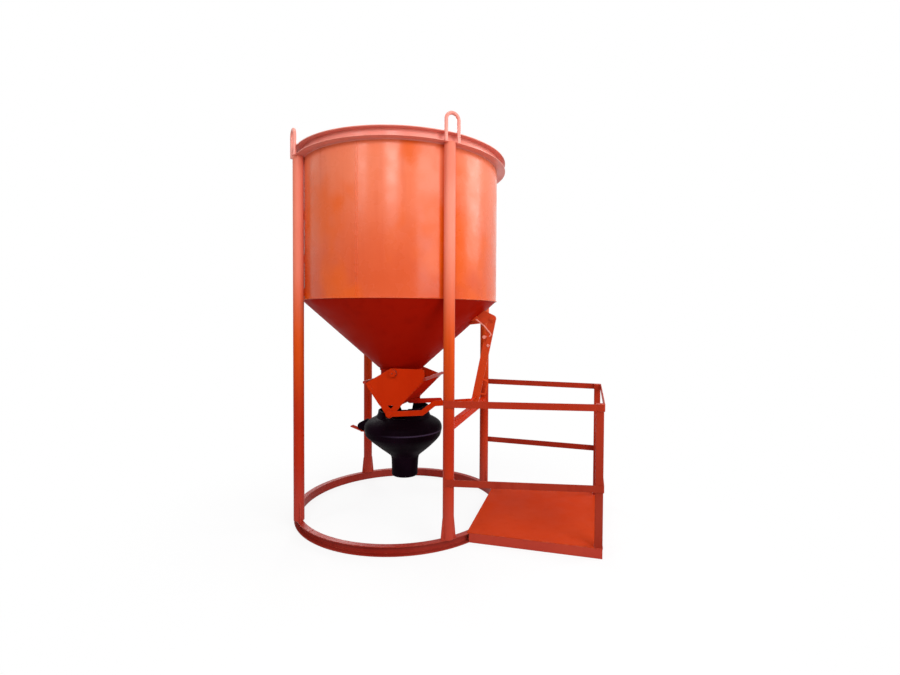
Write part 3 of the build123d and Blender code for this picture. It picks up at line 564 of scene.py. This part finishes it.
# The pan and its arm take a darker red than the cheeks: painted shade.
pan_painted_shade_enamel = enamel(
    "orange_pan_painted_shade",
    low=tone(192, 32, 14),
    high=tone(200, 36, 16),
    levels=(0.85, 1.15),
    faded=tone(204, 52, 26),
    runs=tone(164, 24, 10),
    gloss=0.5,
    shine=0.0,
    wave=0.0006,
)
finish_node(pan_painted_shade_enamel, "gate_pan", "gate_arm")
finish_node(ring_paint, "gate_lip_bars")
finish_node(greased_steel, "gate_bushes")
pan_radius = 0.250
pan_turns = np.radians([202.0, 254.0, 282.0, 348.0])
fold_x = gate_x + pan_radius * np.cos(pan_turns)
fold_z = gate_z + pan_radius * np.sin(pan_turns)
pan_low, pan_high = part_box("gate_pan")
gate_welds = []
for y in (pan_low.y, pan_high.y):
    gate_welds.append(bead(np.stack([fold_x, np.full(4, y), fold_z], 1), 0.0028))
arm_half = 0.0055
arm_x = fold_x[2] + np.array([-0.014, 0.0, 0.017])
arm_z = fold_z[2] + np.array([0.0, 0.0, 0.018])
for y in (-arm_half, arm_half):
    gate_welds.append(bead(np.stack([arm_x, np.full(3, y), arm_z], 1), 0.0026))
piece("gate_welds", gate_welds, gate_enamel, "gate")

# Link
# A cranked flat bar in front of the gate, from the pin in its lug up to the cross
# shaft on the lever. Cut from bar and painted with the gate.
finish_node(gate_enamel, "gate_link")

# Hand lever
# A stout flat bar hung from two ears on the cone. A handle of bent rod, the cross
# shaft and the lock stud are welded to it, and a bolt is left in it below the stud.
lever_paint = enamel(
    "orange_lever_paint",
    low=tone(206, 62, 20),
    high=tone(210, 72, 38),
    levels=(0.85, 1.6),
    faded=tone(206, 76, 40),
    runs=tone(172, 38, 10),
    gloss=0.40,
    shine=0.02,
    wave=0.0004,
)
finish_node(lever_paint, "hand_lever", "lever_handle", "lever_ears", "hook_lug", "lever_bolt", "lever_nut")
# Hook and stud take the rim's pale enamel with its painted light.
finish_node(rim_painted_light_and_shade, "lock_hook", "lock_stud")
finish_node(gate_enamel, "cross_shaft", "shaft_nut")
hitch = np.array([axis_x + 0.621, 0.930])
lever_pivot = np.array([axis_x + 0.745, 1.535])
lever_up = (lever_pivot - hitch) / hypot(*(lever_pivot - hitch))
lever_out = np.array([lever_up[1], -lever_up[0]])
lever_edge, lever_face = 0.029, 0.0105
handle_feet = (0.030, 0.140)
handle_ring, shaft_ring, stud_ring = 0.0078, 0.0108, 0.0088
circle = np.radians(np.linspace(0, 360, 49))


def face_circle(x, y, z, radius):
    """Circle on a face of the lever: x and z plus the radius times the cosine and sine of the turn."""
    return np.stack([x + radius * np.cos(circle), 0 * circle + y, z + radius * np.sin(circle)], 1)


lever_welds = []
for along in handle_feet:
    foot = hitch + lever_up * along + lever_out * lever_edge
    across = np.cos(circle)[:, None] * lever_up * handle_ring
    path = np.stack([foot[0] + across[:, 0], np.sin(circle) * handle_ring, foot[1] + across[:, 1]], 1)
    lever_welds.append(bead(path, 0.0026, closed=True))
for y in (-lever_face, lever_face):
    lever_welds.append(bead(face_circle(hitch[0], y, hitch[1], shaft_ring), 0.0026, closed=True))
stud_low, stud_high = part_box("lock_stud")
stud_x = (stud_low.x + stud_high.x) / 2
stud_z = (stud_low.z + stud_high.z) / 2
lever_welds.append(bead(face_circle(stud_x, -lever_face, stud_z, stud_ring), 0.0024, closed=True))
piece("lever_welds", lever_welds, lever_paint, "lever")
bolt_at = (axis_x + 0.715, -0.0095, 1.328)
washer = turned([(0.0, 0.0125), (0.0025, 0.0125), (0.003, 0.012)], bolt_at, (0, -1, 0))
bolt_head = turned([(0.002, 0.0095), (0.0095, 0.0095), (0.0105, 0.0083)], bolt_at, (0, -1, 0), 6)
# The bolt head takes the rim's pale enamel with its painted light.
piece("lever_bolt_head", [washer, bolt_head], rim_painted_light_and_shade, "lever", smooth=False)
ear_levels = np.linspace(1.488, 1.598, 16)
ear_sides = (0.0100, 0.0190, -0.0100, -0.0190)
lug_levels = np.linspace(1.522, 1.568, 16)
lug_sides = (-0.0435, -0.0525)
ear_welds = []
for levels, sides in ((ear_levels, ear_sides), (lug_levels, lug_sides)):
    for side in sides:
        out = np.sqrt(cone_radius(levels) ** 2 - side**2)
        ear_welds.append(bead(around_axis(0.0, out, side, levels), 0.0028))
# The ear welds take the cone's painted shade.
piece("ear_welds", ear_welds, cone_painted_shade_enamel, "frame")

# Crossbar
# Square tube between the two platform legs, which keeps them apart. Its ends are coped
# round the legs and welded all round.
finish_node(gate_enamel, "crossbar")
leg_xy = leg_at * cos(pi / 4)
bar_low, bar_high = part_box("crossbar")
bar_half = (bar_high.x - bar_low.x) / 2
bar_middle = (bar_low.z + bar_high.z) / 2
corner = np.array([[-1, -1], [1, -1], [1, 1], [-1, 1], [-1, -1]]) * bar_half
loop, _ = spaced(np.stack([corner[:, 0], 0 * corner[:, 0], corner[:, 1]], 1), 0.004)
reach = leg_xy - np.sqrt(leg_radius**2 - loop[:, 0] ** 2)
outset = 1.03
crossbar_welds = []
for hand in (-1, 1):
    x = axis_x + leg_xy + loop[:, 0] * outset
    z = bar_middle + loop[:, 2] * outset
    crossbar_welds.append(bead(np.stack([x, hand * reach, z], 1), 0.0034, closed=True))
piece("crossbar_welds", crossbar_welds, gate_enamel, "frame")

# Platform
# A frame of steel angle with a plain sheet floor, stitch welded along its edges.
# Two square posts and two flat rails, bent round the posts, guard the operator.
floor_paint = enamel(
    "orange_floor_paint",
    low=tone(188, 54, 18),
    high=tone(188, 54, 18),
    levels=(0.0, 0.1),
    faded=tone(198, 70, 34),
    runs=tone(178, 50, 18),
    gloss=0.44,
    shine=0.01,
    wave=0.0010,
)
# Posts and rails darken towards the bottom: painted shade.
guard_paint = enamel(
    "orange_guard_paint",
    low=tone(138, 30, 15),
    high=tone(168, 46, 24),
    levels=(0.1, 1.0),
    faded=tone(180, 72, 52),
    runs=tone(136, 28, 12),
    gloss=0.42,
    shine=0.03,
    wave=0.0006,
)
finish_node(floor_paint, "platform_floor")
finish_node(frame_paint, "platform_side_back", "platform_side_front", "platform_end")
finish_node(guard_paint, "post_back", "post_front", "post_caps", "top_rail", "knee_rail")
floor_low, floor_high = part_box("platform_floor")
stitch, stitch_step, stitch_bead = 0.055, 0.16, 0.0024
joint_bead = 0.0026
angle_thick, angle_short = 0.005, 0.006
platform_welds = []
for hand, edge in ((-1, floor_low.y), (1, floor_high.y)):
    for start in np.arange(floor_low.x + 0.22, floor_high.x - 0.10, stitch_step):
        line = np.array([[start, edge, floor_low.z], [start + stitch, edge, floor_low.z]])
        platform_welds.append(bead(line, stitch_bead))
    for inset in (0.0, angle_thick):
        side = abs(edge) - inset
        x = axis_x + sqrt(ring_out**2 - side**2)
        line = np.array([[x, side * hand, angle_short], [x, side * hand, ring_top - angle_short]])
        platform_welds.append(bead(line, joint_bead))
    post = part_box("post_front" if hand < 0 else "post_back")
    x0, x1 = post[0].x, post[1].x
    y0, y1 = (post[1].y, post[0].y) if hand < 0 else (post[0].y, post[1].y)
    inner = np.array([[x0, y1, floor_high.z], [x0, y0, floor_high.z], [x1, y0, floor_high.z]])
    outer = np.array([[x0, y1, ring_top], [x1, y1, ring_top], [x1, y0, ring_top]])
    platform_welds += [bead(inner, joint_bead), bead(outer, joint_bead)]
for start in np.arange(floor_low.y + 0.12, floor_high.y - 0.12, stitch_step):
    line = np.array([[floor_high.x, start, floor_low.z], [floor_high.x, start + stitch, floor_low.z]])
    platform_welds.append(bead(line, stitch_bead))
piece("platform_welds", platform_welds, frame_paint, "frame")

# Rubber funnel
# One black moulded rubber funnel catches the concrete under the gate: a round lip with a flap
# on both sides, a full shoulder with a tongue on the left, and a spout. It rests on the fork.
rubber = Recipe("black_moulded_rubber")
deep_black = tone(13, 4, 10)
greyed_black = tone(22, 9, 19)
scuffed_black = tone(36, 24, 34)
ridge_painted_highlight = tone(66, 52, 72)
rubber_tone = rubber.mix(rubber.patches(6.0, 0.4, 0.75, detail=4.0), deep_black, greyed_black)
scuffs = rubber.patches(26.0, 0.6, 0.78, most=0.3, detail=5.0, stretch=(1, 1, 0.4))
rubber_tone = rubber.mix(scuffs, rubber_tone, scuffed_black)
# A paler line round the shoulder's ridge, on the right side only, is a painted highlight.
above_foot = rubber.between(rubber.height(), 0.638, 0.646)
below_top = rubber.between(rubber.height(), 0.656, 0.648)
to_right = rubber.add("ShaderNodeSeparateXYZ", {"Vector": rubber.place}).outputs["X"]
highlight_right_side = rubber.between(to_right, axis_x - 0.08, axis_x + 0.20)
ridge_highlight_share = rubber.times(rubber.times(above_foot, below_top), highlight_right_side)
rubber.colour(rubber.mix(ridge_highlight_share, rubber_tone, ridge_painted_highlight))
rubber.rough(rubber.between(rubber.noise(14.0, 4.0), 0.3, 0.75, 0.34, 0.52))
rubber.shader.inputs["Specular IOR Level"].default_value = 0.007
rubber.bumps((rubber.noise(420.0, 2.0), 0.00012), (rubber.noise(22.0, 3.0), 0.0005))
outside = np.array([
    (0.189, 0.7570), (0.194, 0.7605), (0.199, 0.758), (0.204, 0.752), (0.234, 0.738), (0.262, 0.723),
    (0.284, 0.709), (0.300, 0.695), (0.3085, 0.682), (0.312, 0.668), (0.3125, 0.655), (0.314, 0.647),
    (0.3125, 0.640), (0.3085, 0.633), (0.3065, 0.618), (0.3025, 0.602), (0.286, 0.582), (0.264, 0.560),
    (0.236, 0.535), (0.205, 0.507), (0.172, 0.480), (0.143, 0.457), (0.122, 0.440), (0.1125, 0.425),
    (0.1095, 0.408), (0.108, 0.385), (0.1065, 0.352), (0.105, 0.322), (0.1045, 0.300), (0.1065, 0.290),
    (0.1060, 0.278), (0.1035, 0.2715), (0.099, 0.2705),
])
rubber_wall, inside_top = 0.011, 0.752
seat_z, cone_drop = 0.606, 0.174
bowl_shift, spout_shift = 0.020, 0.014
around = 180
inside = outside[:-2][::-1] - np.array([rubber_wall, 0.0])
inside = inside[inside[:, 1] < inside_top]
profile, _ = spaced(np.concatenate([outside, inside])[:, [0, 0, 1]], 0.0065)
profile = profile[:, [0, 2]]
for _ in range(3):
    profile[1:-1] = (profile[:-2] + 2 * profile[1:-1] + profile[2:]) / 4


def bowl_surface(profile):
    """Profile turned about an axis that moves aside below the seat. The wall sags in three soft waves,
    and two parts of the lip, on the left and the right, stand up as flaps with rounded corners."""
    turn = np.linspace(0, 2 * pi, around, endpoint=False)[None, :]
    to_right, to_back = np.cos(turn), np.sin(turn)
    level = profile[:, 1:2]
    drop = np.clip((seat_z - level) / cone_drop, 0, 1)
    shift = bowl_shift + spout_shift * drop * (2 - drop)
    sag_depth, sag_top, sag_run = 0.0012, 0.74, 0.1
    sag = sag_depth * np.sin(3 * turn + 14 * level) * np.clip((sag_top - level) / sag_run, 0, 1)
    out = profile[:, 0:1] + sag - sag_depth
    long_edge, short_edge, corner_run = 0.03, 0.46, 0.09
    flap_edge = np.where((to_right > 0) & (to_back > 0), long_edge, short_edge)
    corner = np.clip((np.abs(to_right) - flap_edge) / corner_run, 0, 1)
    right_flap, left_flap = 0.078, 0.041
    flap = np.where(to_right > 0, right_flap, left_flap) * np.sqrt(corner * (2 - corner))
    lip_z, lip_run = 0.7505, 0.004
    lip = np.clip((level - lip_z) / lip_run, 0, 1)
    points = np.stack([axis_x + shift + out * to_right, out * to_back, level + flap * lip], 2)
    return points.reshape(-1, 3), grid_faces(len(profile), around, True, True)


def tongue_surface(run, sides):
    """Tongue in rounded sections along its run: across, half a width times the root of the cosine of
    the turn; upright, half a height times the root of its sine. Both draw in to a blunt tip."""
    tip_start, tip_run, tip_loss = 0.378, 0.0215, 0.75
    tip = np.sqrt(1 - tip_loss * np.clip((run - tip_start) / tip_run, 0, 1) ** 2)
    under_z, rise_start, rise = 0.6068, 0.3525, 0.319
    under = under_z + np.clip(run - rise_start, 0, None) * rise
    over = np.interp(run, [0.302, 0.320, 0.400], [0.696, 0.704, 0.662])
    turn = np.linspace(0, 2 * pi, sides, endpoint=False)[None, :]
    wide = np.sign(np.cos(turn)) * np.sqrt(np.abs(np.cos(turn)))
    tall = np.sign(np.sin(turn)) * np.sqrt(np.abs(np.sin(turn)))
    half_width = 0.0295
    across = half_width * tip[:, None] * wide
    level = ((over + under) / 2)[:, None] + ((over - under) / 2 * tip)[:, None] * tall
    points = np.stack([axis_x + bowl_shift - run[:, None] + 0 * turn, across, level], 2).reshape(-1, 3)
    last = len(points) - sides
    ends = [list(range(sides)), list(range(last + sides - 1, last - 1, -1))]
    return points, grid_faces(len(run), sides, False, True) + ends


bowl = bowl_surface(profile)
tongue = tongue_surface(np.linspace(0.302, 0.3995, 20), 32)
funnel = piece("rubber_funnel", [bowl, tongue], rubber.material, "frame")
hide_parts("rubber_bowl", "rubber_spout")

# Fork and straps
# Part of a ring of plate under the funnel's shoulder, its left tip turned up, hung from
# the back of the cone by two flat straps. All of it is welded.
finish_node(gate_enamel, "funnel_fork")
# The straps take the cone's painted shade.
finish_node(cone_painted_shade_enamel, "funnel_straps")
strap_in, strap_out, strap_half = 0.346, 0.354, 0.025
along = np.linspace(-strap_half, strap_half, 10)
cone_slope = (drum_radius - outlet_radius) / (cone_high.z - cone_low.z)
cone_level = cone_low.z + (np.sqrt(strap_out**2 + along**2) - outlet_radius) / cone_slope
strap_welds = []
for strap_turn in (radians(88.0), radians(130.0)):
    for out in (strap_in, strap_out):
        strap_welds.append(bead(around_axis(strap_turn, out, along, seat_z + 0.0008), 0.003))
    strap_welds.append(bead(around_axis(strap_turn, strap_out + 0.0005, along, cone_level), 0.0034))
piece("strap_welds", strap_welds, cone_painted_shade_enamel, "frame")

# Studio
# A pale floor that keeps the shadow near the bucket and runs out to white, soft lamps round
# and over the bucket that show as upright bands in the drum, and the camera.
floor_turn = np.linspace(0, 2 * pi, 96, endpoint=False)
reach = np.array([0.001, 1.0, 2.0, 4.0, 8.0, 16.0, 30.0])
floor_x = np.outer(reach, np.cos(floor_turn))
floor_y = np.outer(reach, np.sin(floor_turn))
floor_points = np.stack([floor_x, floor_y, np.full_like(floor_x, -0.002)], 2).reshape(-1, 3)
floor_mesh = bpy.data.meshes.new("studio_floor")
floor_mesh.from_pydata(floor_points.tolist(), [], grid_faces(len(reach), len(floor_turn), False, True))
floor_mesh.flip_normals()
studio_floor = bpy.data.objects.new("studio_floor", floor_mesh)
bpy.context.scene.collection.objects.link(studio_floor)


def seen_by_eye(tree):
    """One for a ray from the camera, a reflection or a clear body, and zero for light that bounces:
    the largest of the three."""
    kind = tree.nodes.new("ShaderNodeLightPath")
    seen = kind.outputs["Is Camera Ray"]
    for ray in ("Is Glossy Ray", "Is Transmission Ray"):
        either = tree.nodes.new("ShaderNodeMath")
        either.operation = "MAXIMUM"
        tree.links.new(seen, either.inputs[0])
        tree.links.new(kind.outputs[ray], either.inputs[1])
        seen = either.outputs[0]
    return seen


pale = Recipe("pale_floor")
seen_floor = seen_by_eye(pale.tree)
pale.colour(pale.mix(seen_floor, (0.5, 0.5, 0.5, 1.0), (0.9, 0.9, 0.9, 1.0)))
pale.shader.inputs["Roughness"].default_value = 0.9
pale.shader.inputs["Specular IOR Level"].default_value = 0.1
flat = pale.add("ShaderNodeVectorMath", {0: pale.place, 1: (1.0, 1.0, 0.0)}, operation="MULTIPLY")
away = pale.add("ShaderNodeVectorMath", {0: flat.outputs[0]}, operation="LENGTH").outputs["Value"]
share = pale.times(seen_floor, pale.between(away, 1.0, 2.6, 0.86, 1.0))
white = pale.add("ShaderNodeEmission", {"Color": (1.0, 1.0, 1.0, 1.0), "Strength": 1.0})
blend = pale.add("ShaderNodeMixShader", {0: share, 1: pale.shader.outputs[0], 2: white.outputs[0]})
pale.tree.links.new(blend.outputs[0], pale.tree.nodes["Material Output"].inputs["Surface"])
floor_mesh.materials.append(pale.material)

world = bpy.data.worlds.new("studio")
bpy.context.scene.world = world
world.use_nodes = True
sky = world.node_tree
backdrop = sky.nodes["Background"]
backdrop.inputs["Color"].default_value = (0.36, 0.36, 0.37, 1.0)
plain = sky.nodes.new("ShaderNodeBackground")
plain.inputs["Color"].default_value = (1.0, 1.0, 1.0, 1.0)
either_sky = sky.nodes.new("ShaderNodeMixShader")
sky.links.new(seen_by_eye(sky), either_sky.inputs[0])
sky.links.new(backdrop.outputs[0], either_sky.inputs[1])
sky.links.new(plain.outputs[0], either_sky.inputs[2])
sky.links.new(either_sky.outputs[0], sky.nodes["World Output"].inputs["Surface"])


def soft_lamp(name, azimuth, distance, z, width, tall, power, aim_z=1.8):
    """Rectangular lamp set round the drum axis by its azimuth in degrees and turned towards the axis."""
    lamp = bpy.data.lights.new(name, "AREA")
    lamp.shape = "RECTANGLE"
    lamp.size, lamp.size_y, lamp.energy = width, tall, power
    thing = bpy.data.objects.new(name, lamp)
    bpy.context.scene.collection.objects.link(thing)
    place = np.array([axis_x + distance * cos(radians(azimuth)), distance * sin(radians(azimuth)), z])
    back = place - np.array([axis_x, 0.0, aim_z])
    back /= np.linalg.norm(back)
    right = np.cross([0.0, 0.0, 1.0], back)
    right /= np.linalg.norm(right)
    up = np.cross(back, right)
    turn = Matrix(np.stack([right, up, back], 1).tolist()).to_4x4()
    turn.translation = place.tolist()
    thing.matrix_world = turn


for name, azimuth, distance, z, width, tall, power in (
    ("left_lamp", -110.0, 6.5, 4.6, 1.2, 2.0, 52.0),
    ("front_lamp", -78.0, 6.5, 4.6, 1.2, 2.0, 110.0),
    ("right_lamp", -38.0, 6.5, 3.7, 3.3, 4.2, 190.0),
    ("far_right_lamp", 17.0, 6.5, 4.2, 2.4, 3.0, 150.0),
    ("back_lamp", 125.0, 6.5, 4.2, 3.0, 3.0, 180.0),
    ("top_lamp", -70.0, 1.0, 7.5, 4.0, 4.0, 130.0),
):
    soft_lamp(name, azimuth, distance, z, width, tall, power)

heading, pitch, roll = radians(104.595), radians(1.380), radians(0.32)
ahead = np.array([cos(heading) * cos(pitch), sin(heading) * cos(pitch), -sin(pitch)])
right = np.array([sin(heading), -cos(heading), 0.0])
up = np.cross(right, ahead)
tilted_right = cos(roll) * right + sin(roll) * up
tilted_up = cos(roll) * up - sin(roll) * right
stand = Matrix(np.stack([tilted_right, tilted_up, -ahead], 1).tolist()).to_4x4()
stand.translation = (axis_x + 1.45252, -3.61636, 1.540)
lens = bpy.data.cameras.new("photo_camera")
lens.sensor_width = 36.0
lens.lens = 19.179
lens.shift_x = -0.01406
lens.shift_y = -0.00902
camera = bpy.data.objects.new("photo_camera", lens)
bpy.context.scene.collection.objects.link(camera)
camera.matrix_world = stand
bpy.context.scene.camera = camera
bpy.context.scene.view_settings.view_transform = "Standard"
